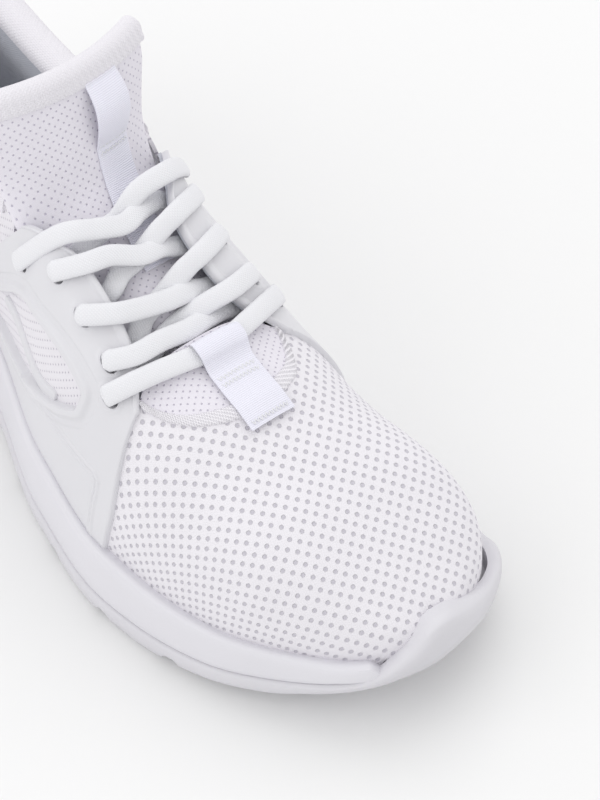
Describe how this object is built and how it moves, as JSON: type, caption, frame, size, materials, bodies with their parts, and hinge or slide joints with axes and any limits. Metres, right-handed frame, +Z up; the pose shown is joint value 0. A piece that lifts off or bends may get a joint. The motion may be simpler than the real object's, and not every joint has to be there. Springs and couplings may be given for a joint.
{
  "type": "running shoe",
  "caption": "Low running shoe for the right foot with a moulded side saddle, open mesh toe, padded collar and tongue, criss-cross lacing and a foam and rubber sole.",
  "frame": {"origin": "on the ground under the middle of the shoe", "axes": "+X to the toe, +Y to the inner side of the foot, +Z up"},
  "size_m": [0.3, 0.1079, 0.1379],
  "materials": {
    "rubber": "satin moulded rubber",
    "foam": "matt moulded foam",
    "moulded": "soft satin moulded overlay",
    "mesh": "open engineered mesh",
    "knit": "fine pin-dot knit",
    "ribbon": "woven satin ribbon",
    "lining": "smooth brushed lining",
    "padding": "open-cell padding",
    "board": "needled lasting board",
    "stiffener": "thin thermoformed sheet",
    "lace": "flat-oval woven lace",
    "tip": "clear film tip"
  },
  "bodies": {
    "shoe_body": {"outsole": "rubber", "midsole": "foam", "strobel_board": "board", "vamp_mesh": "mesh", "toe_puff": "stiffener", "vamp_lining": "lining", "throat_panel": "knit", "vamp_seam_band": "knit", "lateral_quarter": "mesh", "medial_quarter": "mesh", "quarter_lining": "lining", "collar_foam": "padding", "collar_lining": "lining", "collar_binding": "knit", "heel_counter": "stiffener", "heel_strip": "moulded", "lateral_saddle": "moulded", "medial_saddle": "moulded", "lateral_eyelet_backing": "padding", "medial_eyelet_backing": "padding", "window_emblem": "moulded", "lace_keeper": "ribbon", "shoelace": "lace", "aglet_outer": "tip", "aglet_inner": "tip"},
    "tongue": {"tongue_shell": "knit", "tongue_foam": "padding", "tongue_lining": "lining", "tongue_hem": "knit", "tongue_pull_ribbon": "ribbon"},
    "insole": {"sockliner": "lining"}
  },
  "joints": [
    {"name": "tongue_fold", "type": "hinge", "parent": "shoe_body", "child": "tongue", "pos_m": [0.049, -0.002, 0.0735], "axis": [0, 1, 0], "range_deg": [-4, 0]},
    {"name": "insole_lift", "type": "hinge", "parent": "shoe_body", "child": "insole", "pos_m": [0.136, 0.011, 0.0265], "axis": [0, 1, 0], "range_deg": [0, 4]}
  ]
}
